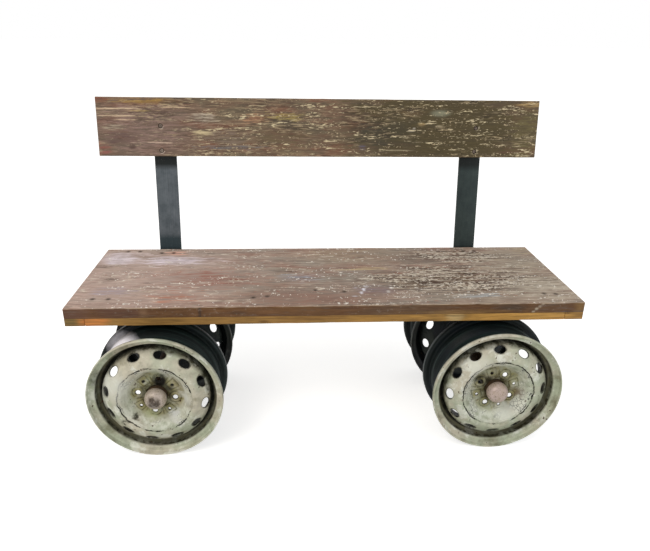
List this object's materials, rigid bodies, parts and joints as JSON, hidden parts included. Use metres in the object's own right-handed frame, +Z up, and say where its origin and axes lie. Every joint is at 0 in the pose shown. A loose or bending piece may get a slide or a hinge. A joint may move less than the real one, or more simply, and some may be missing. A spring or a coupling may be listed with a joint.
{
  "type": "bench",
  "caption": "Plank bench with a reclined back board on two bent flat bars, standing on steel wheel rims.",
  "frame": {"origin": "middle of the footprint, on the floor that the rims stand on", "axes": "+X along the seat, to the right when it is seen from the front; -Y is the side that the sitter faces; +Z up"},
  "size_m": [1.41, 0.6344, 0.9043],
  "materials": {
    "seat_wood": "worn and sun-bleached planks",
    "batten_wood": "planed softwood, oiled",
    "back_wood": "worn and weathered plank",
    "bar_steel": "dark painted flat bar",
    "rim_paint": "dark worn rim, pale flanges",
    "disc_paint": "chalky worn paint with rust and dirt",
    "tube_steel": "dark rusty tube",
    "cap_steel": "pale worn paint",
    "fastening_steel": "dulled",
    "weld_steel": "painted over"
  },
  "bodies": {
    "root": {"axle_cap_left": "cap_steel", "axle_cap_right": "cap_steel", "axle_tube_left": "tube_steel", "axle_tube_right": "tube_steel", "back_board": "back_wood", "back_bolts": "fastening_steel", "back_nuts": "fastening_steel", "bar_welds_left": "weld_steel", "bar_welds_right": "weld_steel", "disc_front_left": "disc_paint", "disc_front_right": "disc_paint", "disc_rear_left": "disc_paint", "disc_rear_right": "disc_paint", "rim_front_left": "rim_paint", "rim_front_right": "rim_paint", "rim_rear_left": "rim_paint", "rim_rear_right": "rim_paint", "seat_batten_front": "batten_wood", "seat_batten_left": "batten_wood", "seat_batten_middle": "batten_wood", "seat_batten_rear": "batten_wood", "seat_batten_right": "batten_wood", "seat_plank_front": "seat_wood", "seat_plank_rear": "seat_wood", "seat_screws_top": "fastening_steel", "seat_screws_under": "fastening_steel", "support_bar_left": "bar_steel", "support_bar_right": "bar_steel", "tube_welds_left": "weld_steel", "tube_welds_right": "weld_steel"}
  },
  "joints": []
}
